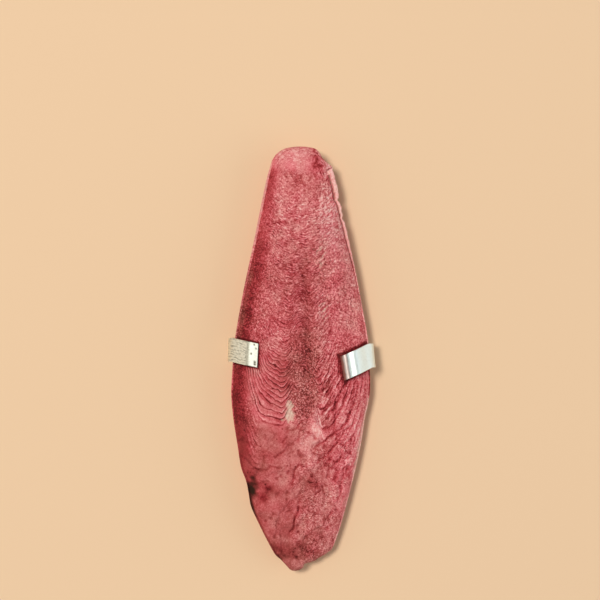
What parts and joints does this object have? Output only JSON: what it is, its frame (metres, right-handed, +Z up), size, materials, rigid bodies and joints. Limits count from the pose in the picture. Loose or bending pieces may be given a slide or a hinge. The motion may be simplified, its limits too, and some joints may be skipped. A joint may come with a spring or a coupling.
{
  "type": "cuttlebone",
  "caption": "Dyed cuttlebone for a bird or small pet to gnaw: a long blunt-ended oval with fine wavy growth ridges, held by a bent metal strip that folds over its long edges.",
  "frame": {"origin": "centre of the bounding box across and along, at its lowest level, where the bone lies on its hard back", "axes": "+X across the bone, +Y along it towards its blunt rear end, +Z up out of the chalky belly side"},
  "size_m": [0.0522, 0.15, 0.0165],
  "materials": {
    "dyed_chalk": "matte",
    "tin_strip": "satin"
  },
  "bodies": {
    "root": {"cuttlebone": "dyed_chalk", "holder_clip": "tin_strip"}
  },
  "joints": []
}
